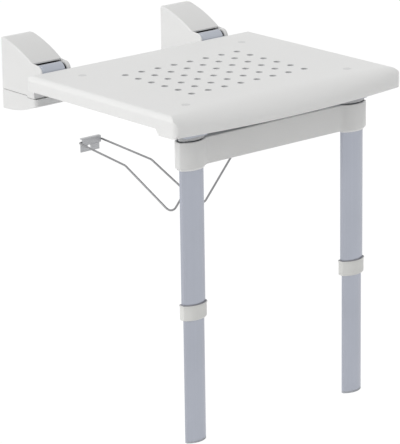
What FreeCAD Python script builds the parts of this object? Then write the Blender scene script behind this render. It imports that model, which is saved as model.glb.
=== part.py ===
import FreeCAD, Part
import math
import os

V = FreeCAD.Vector

# Fold down wall seat with two telescopic support legs, in millimetres.
# X runs along the wall, Y into the wall, Z up. The wall is the plane Y = 0.
# The origin is the middle of the four wall screws, on the wall.
# "out" is a distance from the wall, "drop" a distance below the seat's top.

# Wall brackets
bracket_spacing = 300.0
bracket_width = 54.0
bracket_height = 106.0
bracket_depth = 73.0
crown_start = 7.0
crown_fall = 27.5
crown_bulge = 3.0
cover_wall = 2.0
cover_seam = 76.5
cover_seam_gap = 0.9
cover_seam_step = 3.0
cover_seam_bend = 58.0
cover_edge = 1.6
lower_cover_corner = 7.0
lower_cover_front = 15.0
lower_cover_belly = 3.4
wall_screw_spacing = 64.0
wall_screw_hole = 8.5
plate_width = 49.6
plate_thickness = 6.0
plate_margin = 5.0
lug_thickness = 2.5
lug_radius = 8.0

# Seat hinge
seat_top = 19.0
hinge_out = 84.0
hinge_drop = 6.0
barrel_radius = 8.5
bush_radius = 7.0
bush_length = 12.0
hinge_pin_radius = 5.0
cheek_radius = 11.5
hinge_gap = 0.4
running_fit = 0.05

# Seat shell
seat_width = 420.0
seat_rear = 102.0
seat_front = 449.0
shell_wall = 4.0
lip_wall = 6.0
side_depth = 21.5
lip_depth = 30.0
lip_length = 53.0
lip_step_run = 7.0
lip_run = 48.0
lip_fall = 24.0
lip_tuck = 5.0
end_run = 18.0
end_fall = 14.0
end_tuck = 7.0
end_round = 9.0
end_trim = 0.15
rear_run = 9.0
rear_fall = 10.0
front_bow = 15.0
rib_height = 8.0
rib_thickness = 2.5

# Drain holes, eight along the wall by six deep
hole_columns = 8
hole_rows = 6
hole_pitch_x = 30.0
hole_pitch_y = 29.3
hole_diameter = 9.0
hole_field_set_back = 4.5

# Seat screws, over the arms
screw_spacing_out = 229.0
screw_diameter = 6.0
screw_length = 24.0
cap_diameter = 12.0
cap_thickness = 1.6
cap_gap = 0.15

# Arms under the seat
arm_width = 40.0
arm_height = 14.0
arm_wall = 2.5
arm_set_back = 6.0
pad_depth = 10.0
pad_corner = 4.0
pad_gap = 2.0
nose_width = 16.0
nose_radius = 9.0

# Crossbar and leg pivot
crossbar_length = 343.0
crossbar_set_back = 34.0
crossbar_depth = 37.5
crossbar_top = 43.0
crossbar_height = 38.0
crossbar_wall = 2.5
crossbar_corner = 17.0
crossbar_edge = 2.0
socket_rim = 3.2
socket_rim_wall = 0.8
pivot_from_back = 11.0
pivot_from_top = 9.0
pivot_pin_radius = 4.0
cheek_thickness = 3.7
cheek_play = 0.3
head_radius = 6.0
head_plug = 30.0
head_play = 0.5
rail_depth = 16.0
rail_height = 14.0
rail_wall = 2.0
rail_gap = 0.3

# Legs
seat_height = 486.0
leg_width = 38.5
leg_side = 6.0
leg_crown = 7.5
leg_set_in = 22.8
tube_wall = 1.4
tube_gap = 0.2
upper_leg_top = 72.5
upper_leg_end = 300.5
collar_top = 282.0
collar_bottom = 304.0
collar_wall = 1.6
collar_flange = 1.6
collar_flange_wall = 0.7
collar_edge = 1.0
lower_leg_length = 300.0
glide_length = 24.0
glide_head = 4.0
foot_plug = 22.0
foot_sole = 3.0
lock_screw_radius = 2.5
lock_screw_inset = 0.1

# Fold link, a bent rod with its ends held in a plate on the wall
link_diameter = 3.0
link_axis_out = 2.4
link_axis_drop = 151.0
link_centre = -20.0
link_half_wall = 21.0
link_half_front = 28.5
link_bend_out = 117.0
link_bend_drop = 161.5
link_low_out = 228.0
link_low_drop = 211.0
link_tip_set_back = 84.0
link_tip_drop = 28.0
link_hook = 15.0
link_hook_bend = 3.0
link_wide_bend = 14.0
link_low_bend = 20.0
link_tip_bend = 5.0
link_plate_width = 35.5
link_plate_top = 144.5
link_plate_bottom = 166.5
link_plate_sheet = 1.6
link_plate_gap = 0.25
link_plate_step = 0.6
link_plate_hole = 7.0
link_plate_hole_shift = 2.0
link_plate_hole_drop = 160.3
link_ratio = 0.65
guide_thickness = 5.0
guide_back_reach = 77.0
guide_front_reach = 7.0
guide_flange = 14.0
guide_flange_sheet = 3.0
guide_border = 4.0
slot_gap = 1.0

half_spacing = bracket_spacing / 2
half_seat = seat_width / 2
hinge = (hinge_out, hinge_drop)
hole_field_out = (seat_rear + seat_front) / 2 - hole_field_set_back
crossbar_front = seat_front - crossbar_set_back
crossbar_back = crossbar_front - crossbar_depth
crossbar_bottom = crossbar_top + crossbar_height
pivot = (crossbar_back + pivot_from_back, crossbar_top + pivot_from_top)
head_floor = pivot[1] + nose_radius + head_play
leg_back_out = crossbar_front - leg_set_in
arm_end = crossbar_front - arm_set_back
link_tip = (seat_front - link_tip_set_back, link_tip_drop)


def at(x, out, drop):
    """Point from its place along the wall, out of the wall and below the seat top."""
    return V(x, -out, seat_top - drop)


def outline(place, steps):
    """Closed outline. A step is a point, or a list: middle and end of an arc, or a curve."""
    edges = []
    here = steps[0]
    for step in list(steps[1:]) + [steps[0]]:
        points = [here] + step if isinstance(step, list) else [here, step]
        spots = [place(*point) for point in points]
        if len(points) == 3:
            edges.append(Part.Arc(*spots).toShape())
        elif len(points) > 3:
            curve = Part.BSplineCurve()
            curve.interpolate(spots)
            edges.append(curve.toShape())
        elif spots[0].distanceToPoint(spots[1]) > 1e-6:
            edges.append(Part.LineSegment(*spots).toShape())
        here = points[-1]
    return Part.Wire(edges)


def side_wire(x, steps):
    """Closed side profile at x."""
    return outline(lambda out, drop: at(x, out, drop), steps)


def side_prism(x0, x1, steps):
    """Side profile carried along the wall from x0 to x1."""
    return Part.Face(side_wire(x0, steps)).extrude(V(x1 - x0, 0, 0))


def box(x0, x1, out0, out1, drop0, drop1):
    """Block between two places along the wall, two reaches and two drops."""
    return Part.makeBox(x1 - x0, out1 - out0, drop1 - drop0, at(x0, out1, drop1))


def rod_x(x0, x1, out, drop, radius):
    """Round bar along the wall."""
    return Part.makeCylinder(radius, x1 - x0, at(x0, out, drop), V(1, 0, 0))


def rod_z(x, out, drop0, drop1, radius):
    """Round upright bar between two drops."""
    return Part.makeCylinder(radius, drop1 - drop0, at(x, out, drop1), V(0, 0, 1))


def on_arc(centre, radius, degrees):
    """Point on a circle in the side view, its angle taken upwards from straight out."""
    angle = math.radians(degrees)
    return (centre[0] + radius * math.cos(angle), centre[1] - radius * math.sin(angle))


def round_edges(shape, radius, wanted):
    """Fillet of the edges that the test wanted picks out."""
    return shape.makeFillet(radius, [edge for edge in shape.Edges if wanted(edge)])


def upright(edge):
    """True for a straight edge along Z."""
    if not isinstance(edge.Curve, Part.Line):
        return False
    return abs(edge.tangentAt(edge.FirstParameter).z) > 0.999


def round_off(start, corner, finish, count):
    """Points of a quarter ellipse that leaves start towards the corner and ends at finish."""
    points = []
    for index in range(1, count + 1):
        turn = math.pi / 2 * index / count
        ahead = math.sin(turn)
        aside = 1 - math.cos(turn)
        points.append(tuple(start[k] + (corner[k] - start[k]) * ahead
                            + (finish[k] - corner[k]) * aside for k in (0, 1)))
    return points


# Wall brackets

bracket_top_drop = seat_top - bracket_height / 2
bracket_bottom_drop = seat_top + bracket_height / 2


def cover_crown(inset):
    """Start, middle and end of the upper cover's bulging slope, lowered by inset."""
    run = bracket_depth - crown_start
    length = math.hypot(run, crown_fall)
    top = bracket_top_drop + inset
    middle = (crown_start + run / 2 + crown_bulge * crown_fall / length,
              top + crown_fall / 2 - crown_bulge * run / length)
    return [(crown_start, top), middle, (bracket_depth, top + crown_fall)]


def upper_cover(side):
    """Moulded cover over the hinge, open to the wall and downwards, with two round cheeks."""
    x = side * half_spacing
    half = bracket_width / 2
    inner = half - cover_wall
    seam = bracket_top_drop + cover_seam
    crown = cover_crown(0.0)
    nose = [on_arc(hinge, cheek_radius, turn) for turn in (90, 0, -90)]
    front = bracket_depth + cover_seam_step
    body = side_prism(x - half, x + half, [
        (0.0, bracket_top_drop),
        crown[0],
        crown[1:],
        nose[0],
        [nose[1], nose[2]],
        (front, nose[2][1] + 2 * cover_seam_step),
        (front, seam + cover_seam_step),
        (cover_seam_bend + cover_seam_step, seam + cover_seam_step),
        (cover_seam_bend, seam),
        (0.0, seam),
    ])
    body = round_edges(body, cover_edge, lambda e: soft_cover_edge(e, x, half))
    roof = cover_crown(cover_wall)
    slot_low = nose[2][1] + cover_wall / 2
    hollow = side_prism(x - inner, x + inner, [
        (-1.0, roof[0][1]),
        roof[0],
        roof[1:],
        (bracket_depth, slot_low),
        (bracket_depth, seam + 2 * cover_seam_step),
        (-1.0, seam + 2 * cover_seam_step),
    ])
    slot = box(x - inner, x + inner, bracket_depth - 0.1, hinge_out + 2 * cheek_radius,
               bracket_top_drop, slot_low)
    return body.cut([hollow, slot])


def soft_cover_edge(edge, x, half):
    """Outer edges of the upper cover's crown and cheeks, on both of its sides."""
    reach = edge.BoundBox
    on_side = reach.XLength < 0.01 and abs(abs(reach.XMin - x) - half) < 0.01
    return on_side and reach.ZMin > seat_top - hinge_drop - cheek_radius - 0.1 and reach.YLength > 1.0


def lower_cover(side):
    """Moulded lower cover with its bellied bottom, open to the wall and upwards."""
    x = side * half_spacing
    half = bracket_width / 2
    inner = half - cover_wall
    seam = bracket_top_drop + cover_seam + cover_seam_gap
    front = bracket_depth + 2 * cover_seam_step
    bottom = bracket_bottom_drop
    body = side_prism(x - half, x + half, [
        (0.0, seam),
        (cover_seam_bend, seam),
        (cover_seam_bend + cover_seam_step, seam + cover_seam_step),
        (front, seam + cover_seam_step),
        (front, bottom - lower_cover_front),
        [(front / 2, bottom - lower_cover_belly), (0.0, bottom)],
    ])
    body = round_edges(body, lower_cover_corner,
                       lambda e: upright(e) and e.BoundBox.YMax < -front + 0.1)
    hollow = side_prism(x - inner, x + inner, [
        (-1.0, seam - 1.0),
        (front - cover_wall, seam - 1.0),
        (front - cover_wall, bottom - lower_cover_front - cover_wall),
        [(front / 2, bottom - lower_cover_belly - cover_wall), (-1.0, bottom - cover_wall)],
    ])
    return body.cut(hollow)


def wall_plate(side):
    """Steel base plate with two screw holes and two lugs that carry the hinge pin."""
    x = side * half_spacing
    half = plate_width / 2
    plate = box(x - half, x + half, 0.0, plate_thickness,
                bracket_top_drop + plate_margin, bracket_bottom_drop - plate_margin)
    plate = round_edges(plate, plate_margin, lambda e: abs(e.tangentAt(e.FirstParameter).y) > 0.99)
    upper = bracket_top_drop + cover_wall + plate_margin
    low = bracket_top_drop + cover_seam - plate_margin
    lug_steps = [
        (plate_thickness - 1.0, upper),
        (2 * lug_radius, upper + plate_margin),
        (bracket_depth - 2 * lug_radius, hinge_drop - lug_radius + 1.0),
        on_arc(hinge, lug_radius, 105),
        [on_arc(hinge, lug_radius, 0), on_arc(hinge, lug_radius, -90)],
        (2 * lug_radius, low),
        (plate_thickness - 1.0, low),
    ]
    inner = half - lug_thickness
    lugs = [side_prism(x - half, x - inner, lug_steps), side_prism(x + inner, x + half, lug_steps)]
    body = plate.fuse(lugs)
    cuts = [rod_x(x - half - 1, x + half + 1, *hinge, hinge_pin_radius)]
    for up in (-1, 1):
        spot = V(x, 1.0, up * wall_screw_spacing / 2)
        cuts.append(Part.makeCylinder(wall_screw_hole / 2, plate_thickness + 2.0, spot, V(0, -1, 0)))
    return body.cut(cuts)


def hinge_pin(side):
    """Steel hinge pin, pressed into both lugs."""
    x = side * half_spacing
    half = plate_width / 2
    return rod_x(x - half, x + half, *hinge, hinge_pin_radius)


# Seat hinge and arms

barrel_half = plate_width / 2 - lug_thickness - hinge_gap


def hinge_bushes(side):
    """Two flanged plastic bushes between the barrel and the hinge pin."""
    x = side * half_spacing
    shapes = []
    for end in (-1, 1):
        outer_face = x + end * barrel_half
        sleeve = rod_x(*sorted((outer_face, outer_face - end * bush_length)), *hinge, bush_radius)
        bore = rod_x(x - barrel_half - 1, x + barrel_half + 1, *hinge, hinge_pin_radius + running_fit)
        shapes.append(sleeve.cut(bore))
    return Part.makeCompound(shapes)


def seat_arm(side):
    """Aluminium arm: hinge barrel, hollow bar under the seat, nose for the leg pivot and front pad."""
    x = side * half_spacing
    half = arm_width / 2
    top = shell_wall
    low = top + arm_height
    start = hinge_out + 2 * barrel_radius
    neck = side_prism(x - half, x + half, [
        (hinge_out, hinge_drop - 1.0),
        (hinge_out + barrel_radius + 3.0, top),
        (start + 1.0, top),
        (start + 1.0, low),
        (hinge_out + barrel_radius, low),
        (hinge_out, hinge_drop + barrel_radius),
    ])
    barrel = rod_x(x - barrel_half, x + barrel_half, *hinge, barrel_radius)
    bar = side_prism(x - half, x + half, [
        (start, top),
        (arm_end - 2 * pad_depth, top),
        (arm_end, top + 3.0),
        (arm_end, low),
        (start, low),
    ])
    pad = box(x - half, x + half, arm_end - pad_depth, arm_end, low - 1.0, crossbar_top - pad_gap)
    pad = round_edges(pad, pad_corner, lambda e: upright(e) and e.BoundBox.YMax < -arm_end + 0.1)
    nose_half = nose_width / 2
    left = on_arc(pivot, nose_radius, 180)
    right = on_arc(pivot, nose_radius, 0)
    foot = on_arc(pivot, nose_radius, -90)
    nose = side_prism(x - nose_half, x + nose_half, [
        (left[0] - nose_radius, low - 1.0),
        (right[0], low - 1.0),
        right,
        [foot, left],
        (left[0], low + nose_radius),
    ])
    body = bar.fuse([neck, barrel, nose, pad]).removeSplitter()
    hollow = box(x - half + arm_wall, x + half - arm_wall, start + 2 * arm_wall,
                 left[0] - 2 * nose_radius, top + arm_wall, low - arm_wall)
    cuts = [hollow, rod_x(x - barrel_half - 1, x + barrel_half + 1, *hinge, bush_radius),
            rod_x(x - half, x + half, *pivot, pivot_pin_radius + running_fit)]
    for out in screw_outs():
        cuts.append(rod_z(x, out, 0.0, screw_length, screw_diameter / 2))
    return body.cut(cuts)


# Seat shell

def screw_outs():
    """Reach of the rear and the front row of seat screws."""
    return (hole_field_out - screw_spacing_out / 2, hole_field_out + screw_spacing_out / 2)


def seat_section(x, inset, front_inset, depth):
    """Side profile of the seat at a place along the wall, moved in and down by the insets."""
    share = (x / half_seat) ** 2
    run = lip_run + (end_run - lip_run) * share
    fall = lip_fall + (end_fall - lip_fall) * share
    tuck = lip_tuck + (end_tuck - lip_tuck) * share
    front = seat_front - front_bow * share - front_inset
    rear = seat_rear + inset
    return side_wire(x, [
        (rear, depth),
        (rear, inset + rear_fall),
        round_off((rear, inset + rear_fall), (rear, inset), (rear + rear_run, inset), 2),
        (front - run, inset),
        round_off((front - run, inset), (front, inset), (front, inset + fall), 5),
        (front, depth - tuck),
        round_off((front, depth - tuck), (front, depth), (front - tuck, depth), 2),
    ])


def seat_blank(inset, front_inset, depth):
    """Solid through five side profiles, from end to end of the seat."""
    half = half_seat - inset
    shares = (-1.0, -0.5, 0.0, 0.5, 1.0)
    sections = [seat_section(half * share, inset, front_inset, depth) for share in shares]
    return Part.makeLoft(sections, True, False)


def seat_corners(side):
    """Two blocks that hold the seat and round its corners and its end edge on one side."""
    radius = end_round + end_trim
    middle = half_seat - end_round
    rear = (middle, seat_rear + end_round)
    front = (middle, seat_front - front_bow * (middle / half_seat) ** 2 - end_round)
    top = (middle, end_round)
    far = half_seat + end_round
    plan = outline(lambda x, out: at(side * x, out, 2 * lip_depth), [
        (-far, seat_front + lip_depth),
        (0.0, seat_front + lip_depth),
        on_arc(front, radius, -90),
        [on_arc(front, radius, -45), on_arc(front, radius, 0)],
        on_arc(rear, radius, 0),
        [on_arc(rear, radius, 45), on_arc(rear, radius, 90)],
        (-far, seat_rear - end_trim),
    ])
    end = outline(lambda x, drop: at(side * x, seat_rear - end_round, drop), [
        (-far, 2 * lip_depth),
        (half_seat + end_trim, 2 * lip_depth),
        on_arc(top, radius, 0),
        [on_arc(top, radius, 45), on_arc(top, radius, 90)],
        (-far, -end_trim),
    ])
    reach = seat_front - seat_rear + 2 * lip_depth
    return [Part.Face(plan).extrude(V(0, 0, 3 * lip_depth)), Part.Face(end).extrude(V(0, -reach, 0))]


def seat_shell():
    """Moulded seat: waterfall front, rounded ends, ribs, drain holes and screw seats."""
    shell = seat_blank(0.0, 0.0, lip_depth)
    for block in seat_corners(-1) + seat_corners(1):
        shell = shell.common(block)
    cavity = seat_blank(shell_wall, lip_wall, lip_depth + 2 * lip_wall)
    step = seat_front - lip_length
    under = side_prism(-half_seat - 1, half_seat + 1, [
        (seat_rear - 1.0, side_depth),
        (step - lip_step_run / 2, side_depth),
        (step + lip_step_run / 2, lip_depth + 0.01),
        (step + lip_step_run / 2, lip_depth + 5.0),
        (seat_rear - 1.0, lip_depth + 5.0),
    ])
    shell = shell.cut([cavity, under])
    rib_room = seat_blank(shell_wall - 0.5, lip_wall - 0.5, lip_depth)
    shell = shell.fuse(seat_ribs().common(rib_room)).removeSplitter()
    cuts = drain_holes()
    for side in (-1, 1):
        x = side * half_spacing
        notch = arm_width / 2 + 1.0
        cuts.append(box(x - notch, x + notch, seat_rear - 1.0, seat_rear + 4 * shell_wall,
                        shell_wall, lip_depth))
        for out in screw_outs():
            cuts.append(rod_z(x, out, -1.0, shell_wall + 1.0, screw_diameter / 2))
            cuts.append(rod_z(x, out, -1.0, cap_thickness, cap_diameter / 2))
    return shell.cut(cuts)


def seat_ribs():
    """Stiffening ribs under the seat, between the drain holes and beside the arms."""
    low = shell_wall + rib_height
    field_half = hole_pitch_x * (hole_columns - 1) / 2
    outer = field_half + hole_pitch_x / 2
    t = rib_thickness / 2
    ribs = []
    for x in (-outer, -hole_pitch_x * 2, hole_pitch_x * 2, outer):
        ribs.append(box(x - t, x + t, seat_rear + 1.0, seat_front - lip_length - lip_wall, shell_wall - 0.4, low))
    for row in (-2, 2):
        out = hole_field_out + row * hole_pitch_y
        ribs.append(box(-outer, outer, out - t, out + t, shell_wall - 0.4, low))
    body = ribs[0].fuse(ribs[1:])
    around = link_half_front + 5.0
    bay = box(link_centre - around, link_centre + around, link_tip[0] - guide_back_reach - 2.0,
              link_tip[0] + guide_front_reach + 2.0, 0.0, low + 1.0)
    return body.cut(bay)


def drain_holes():
    """Cutters for the grid of drain holes."""
    holes = []
    for row in range(hole_rows):
        out = hole_field_out + (row - (hole_rows - 1) / 2) * hole_pitch_y
        for column in range(hole_columns):
            x = (column - (hole_columns - 1) / 2) * hole_pitch_x
            holes.append(rod_z(x, out, -1.0, shell_wall + 1.0, hole_diameter / 2))
    return holes


def seat_screws():
    """Four screws that hold the seat to its arms."""
    shapes = []
    for side in (-1, 1):
        for out in screw_outs():
            shank = rod_z(side * half_spacing, out, cap_thickness, screw_length, screw_diameter / 2)
            shapes.append(shank)
    return Part.makeCompound(shapes)


def screw_caps():
    """Four round caps, flush with the seat, over the screws."""
    shapes = []
    for side in (-1, 1):
        for out in screw_outs():
            shapes.append(rod_z(side * half_spacing, out, 0.0, cap_thickness, cap_diameter / 2 - cap_gap))
    return Part.makeCompound(shapes)


# Legs

def leg_wire(side, drop, inset):
    """Section of a leg: flat back, short sides and a crowned front."""
    x = side * half_spacing
    half = leg_width / 2 - inset
    back = leg_back_out + inset
    shoulder = leg_back_out + leg_side - inset * 0.6
    front = leg_back_out + leg_side + leg_crown - inset
    points = [(-half, back), (half, back), (half, shoulder), (0.0, front), (-half, shoulder)]
    p = [at(x + a, b, drop) for a, b in points]
    return Part.Wire([
        Part.LineSegment(p[0], p[1]).toShape(),
        Part.LineSegment(p[1], p[2]).toShape(),
        Part.Arc(p[2], p[3], p[4]).toShape(),
        Part.LineSegment(p[4], p[0]).toShape(),
    ])


def leg_bar(side, drop0, drop1, inset):
    """Solid bar of the leg's section between two drops."""
    return Part.Face(leg_wire(side, drop1, inset)).extrude(V(0, 0, drop1 - drop0))


lower_inset = tube_wall + tube_gap
lower_leg_top = seat_height - foot_sole - lower_leg_length


def upper_leg(side):
    """Aluminium outer tube of a leg."""
    tube = leg_bar(side, upper_leg_top, upper_leg_end, 0.0)
    return tube.cut(leg_bar(side, upper_leg_top - 1, upper_leg_end + 1, tube_wall))


def lower_leg(side):
    """Aluminium inner tube of a leg."""
    bottom = seat_height - foot_sole
    tube = leg_bar(side, lower_leg_top, bottom, lower_inset)
    return tube.cut(leg_bar(side, lower_leg_top - 1, bottom + 1, lower_inset + tube_wall))


def leg_collar(side):
    """Moulded collar round the end of the outer tube, with a lip that guides the inner one."""
    body = leg_bar(side, collar_top, collar_bottom, -collar_wall)
    low = [e for e in body.Edges if e.BoundBox.ZMax < seat_top - collar_bottom + 0.01]
    body = body.makeChamfer(collar_edge, low)
    flange = leg_bar(side, collar_top, collar_top + collar_flange, -collar_wall - collar_flange_wall)
    body = body.fuse(flange).removeSplitter()
    seat = leg_bar(side, collar_top - 1, upper_leg_end, 0.0)
    bore = leg_bar(side, collar_top - 1, collar_bottom + 1, lower_inset - tube_gap)
    x = side * half_spacing
    middle = (collar_top + collar_bottom) / 2
    lock = Part.makeCylinder(lock_screw_radius, 10.0, at(x, leg_back_out + 4.0, middle), V(0, 1, 0))
    return body.cut([seat, bore, lock])


def lock_screw(side):
    """Grub screw at the back of a collar that clamps the inner tube at its height."""
    x = side * half_spacing
    middle = (collar_top + collar_bottom) / 2
    return Part.makeCylinder(lock_screw_radius, collar_wall - 2 * lock_screw_inset,
                             at(x, leg_back_out - lock_screw_inset, middle), V(0, 1, 0))


def leg_glide(side):
    """Plastic plug in the top of the inner tube that runs inside the outer one."""
    plug = leg_bar(side, lower_leg_top, lower_leg_top + glide_length, lower_inset + tube_wall)
    head = leg_bar(side, lower_leg_top - glide_head, lower_leg_top, lower_inset)
    return plug.fuse(head)


def foot(side):
    """Rubber foot: a plug in the inner tube and a sole under it."""
    bottom = seat_height - foot_sole
    plug = leg_bar(side, bottom - foot_plug, bottom, lower_inset + tube_wall)
    sole = leg_bar(side, bottom, seat_height, lower_inset)
    return plug.fuse(sole)


def leg_head(side):
    """Cast fork at the top of a leg, plugged into the outer tube."""
    x = side * half_spacing
    inner = nose_width / 2 + cheek_play
    outer = inner + cheek_thickness
    left = on_arc(pivot, head_radius, 180)
    top = on_arc(pivot, head_radius, 90)
    middle = on_arc(pivot, head_radius, 135)
    front = leg_back_out + leg_side + leg_crown - 2 * tube_wall
    steps = [left, [middle, top], (front - nose_radius, top[1]), (front, pivot[1]),
             (front, upper_leg_top), (leg_back_out, upper_leg_top)]
    cheeks = [side_prism(x - outer, x - inner, steps), side_prism(x + inner, x + outer, steps)]
    plug = leg_bar(side, head_floor, upper_leg_top + head_plug, tube_wall)
    body = plug.fuse(cheeks).removeSplitter()
    return body.cut(rod_x(x - outer - 1, x + outer + 1, *pivot, pivot_pin_radius))


def leg_pin(side):
    """Steel pin of the leg pivot, pressed into the fork."""
    x = side * half_spacing
    outer = nose_width / 2 + cheek_play + cheek_thickness
    return rod_x(x - outer, x + outer, *pivot, pivot_pin_radius)


def crossbar_block(inset, top, bottom):
    """Block with the crossbar's half round ends, moved in by inset."""
    half = crossbar_length / 2 - inset
    block = box(-half, half, crossbar_back + inset, crossbar_front - inset, top, bottom)
    return round_edges(block, crossbar_corner - inset, upright)


def crossbar_cover():
    """Moulded trough across both legs, open at the top, with a socket for each leg."""
    body = crossbar_block(0.0, crossbar_top, crossbar_bottom)
    body = round_edges(body, crossbar_edge, lambda e: e.BoundBox.ZLength < 0.01)
    rims = [leg_bar(side, crossbar_bottom - crossbar_wall, crossbar_bottom + socket_rim,
                    -socket_rim_wall) for side in (-1, 1)]
    body = body.fuse(rims)
    cuts = [crossbar_block(crossbar_wall, crossbar_top - 1.0, crossbar_bottom - crossbar_wall)]
    window = nose_width / 2 + 2 * cheek_play
    for side in (-1, 1):
        x = side * half_spacing
        cuts.append(leg_bar(side, crossbar_top, crossbar_bottom + 2 * socket_rim, 0.0))
        cuts.append(box(x - window, x + window, crossbar_back - 1.0, pivot[0],
                        crossbar_top - 1.0, head_floor + head_play))
    return body.cut(cuts)


def crossbar_rail():
    """Aluminium rail inside the crossbar that ties the two leg heads together."""
    reach = half_spacing - nose_width / 2 - cheek_play - cheek_thickness
    front = crossbar_front - crossbar_wall - rail_gap
    low = head_floor - head_play
    outer = box(-reach, reach, front - rail_depth, front, low - rail_height, low)
    return outer.cut(box(-reach - 1, reach + 1, front - rail_depth + rail_wall, front - rail_wall,
                         low - rail_height + rail_wall, low - rail_wall))


# Fold link

def link_wall_plate():
    """Folded steel plate on the wall that traps the ends of the link and lets them turn."""
    x = link_centre
    half = link_plate_width / 2
    t = link_plate_sheet
    lift = link_axis_out + link_diameter / 2 + link_plate_gap
    step = link_axis_drop + link_diameter / 2 + link_plate_step
    sheet = side_prism(x - half, x + half, [
        (0.0, link_plate_top),
        (lift + t, link_plate_top),
        (lift + t, step + t),
        (t, step + t + lift / 2),
        (t, link_plate_bottom),
        (0.0, link_plate_bottom),
        (0.0, step + lift / 2),
        (lift, step),
        (lift, link_plate_top + t),
        (0.0, link_plate_top + t),
    ])
    spot = at(x - link_plate_hole_shift, -1.0, link_plate_hole_drop)
    hole = Part.makeCylinder(link_plate_hole / 2, lift + 2.0, spot, V(0, -1, 0))
    return sheet.cut(hole)


def link_rod():
    """Bent steel rod: two strands from the wall plate, joined by a cross pin under the seat."""
    radius = link_diameter / 2
    axis = (link_axis_out, link_axis_drop)
    route = []
    for end in (-1, 1):
        wall_x = link_centre + end * link_half_wall
        front_x = link_centre + end * link_half_front
        share = (link_bend_out - axis[0]) / (link_low_out - axis[0])
        bend_x = wall_x + (front_x - wall_x) * share
        strand = [
            at(wall_x - end * link_hook, *axis),
            at(wall_x, *axis),
            at(bend_x, link_bend_out, link_bend_drop),
            at(front_x, link_low_out, link_low_drop),
            at(front_x, *link_tip),
        ]
        route.append(strand)
    points = route[0] + route[1][::-1]
    bends = [link_hook_bend, link_wide_bend, link_low_bend, link_tip_bend]
    radii = bends + bends[::-1]
    return bent_rod(points, radii, radius)


def bent_rod(points, radii, radius):
    """Round rod along straight runs joined by tangent arcs."""
    pieces = []
    here = points[0]
    for index in range(1, len(points) - 1):
        before = (points[index - 1] - points[index]).normalize()
        after = (points[index + 1] - points[index]).normalize()
        turn = math.pi - before.getAngle(after)
        bend = radii[index - 1]
        start = points[index] + before * bend * math.tan(turn / 2)
        finish = points[index] + after * bend * math.tan(turn / 2)
        centre = points[index] + (before + after).normalize() * (bend / math.cos(turn / 2))
        axis = (start - centre).cross(finish - centre)
        pieces.append(Part.makeCylinder(radius, here.distanceToPoint(start), here, start - here))
        disc = Part.Face(Part.Wire(Part.makeCircle(radius, start, before)))
        pieces.append(disc.revolve(centre, axis, math.degrees(turn)))
        here = finish
    pieces.append(Part.makeCylinder(radius, here.distanceToPoint(points[-1]), here, points[-1] - here))
    return pieces[0].fuse(pieces[1:]).removeSplitter()


def link_path(angle):
    """Place of the link's tip under the seat, as reach and drop, when the seat is up by angle."""
    lift = math.radians(angle)
    swing = math.radians(angle * link_ratio)
    dx = link_tip[0] - link_axis_out
    dz = link_axis_drop - link_tip[1]
    tip_x = link_axis_out + dx * math.cos(swing) - dz * math.sin(swing)
    tip_z = -link_axis_drop + dx * math.sin(swing) + dz * math.cos(swing)
    rx = tip_x - hinge_out
    rz = tip_z + hinge_drop
    along = rx * math.cos(lift) + rz * math.sin(lift)
    above = -rx * math.sin(lift) + rz * math.cos(lift)
    return (hinge_out + along, hinge_drop - above)


def link_guide(x):
    """Guide plate under the seat whose curved slot carries the link's cross pin."""
    t = guide_thickness / 2
    stations = [link_path(angle) for angle in range(0, 91, 15)]
    slot_radius = link_diameter / 2 + slot_gap
    slot = slot_cutter(x - t - 1, x + t + 1, stations, slot_radius)
    border = slot_cutter(x - t, x + t, stations, slot_radius + guide_border)
    guide_back = link_tip[0] - guide_back_reach
    guide_front = link_tip[0] + guide_front_reach
    web = side_prism(x - t, x + t, [
        (guide_back, shell_wall),
        (guide_front, shell_wall),
        (guide_front, link_tip[1]),
        stations[1],
        stations[2],
        (guide_back, stations[3][1]),
    ])
    flange = box(x - guide_flange / 2, x + guide_flange / 2, guide_back, guide_front,
                 shell_wall, shell_wall + guide_flange_sheet)
    body = web.fuse([border, flange]).removeSplitter()
    ceiling = box(x - guide_flange, x + guide_flange, guide_back - guide_flange,
                  guide_front + guide_flange, -2 * guide_flange, shell_wall)
    return body.cut([slot, ceiling])


def slot_cutter(x0, x1, stations, radius):
    """Rounded band of a radius about a smooth line through the stations."""
    curve = Part.BSplineCurve()
    curve.interpolate([at(x0, *point) for point in stations])
    count = 12
    first, last = curve.FirstParameter, curve.LastParameter
    upper, lower = [], []
    for index in range(count + 1):
        u = first + (last - first) * index / count
        spot = curve.value(u)
        tangent = curve.tangent(u)[0]
        normal = V(0, -tangent.z, tangent.y).normalize()
        upper.append(spot + normal * radius)
        lower.append(spot - normal * radius)
    side_a = Part.BSplineCurve()
    side_a.interpolate(upper)
    side_b = Part.BSplineCurve()
    side_b.interpolate(lower[::-1])
    end_t = curve.tangent(last)[0].normalize()
    start_t = curve.tangent(first)[0].normalize()
    end_cap = Part.Arc(upper[-1], curve.value(last) + end_t * radius, lower[-1]).toShape()
    start_cap = Part.Arc(lower[0], curve.value(first) - start_t * radius, upper[0]).toShape()
    wire = Part.Wire([side_a.toShape(), end_cap, side_b.toShape(), start_cap])
    return Part.Face(wire).extrude(V(x1 - x0, 0, 0))


def save(name, shape):
    """Write one piece and say how large it is."""
    shape.exportStep("parts/" + name + ".step")
    print(name, len(shape.Solids), round(shape.Volume / 1000, 2), "cm3", shape.isValid())


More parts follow.
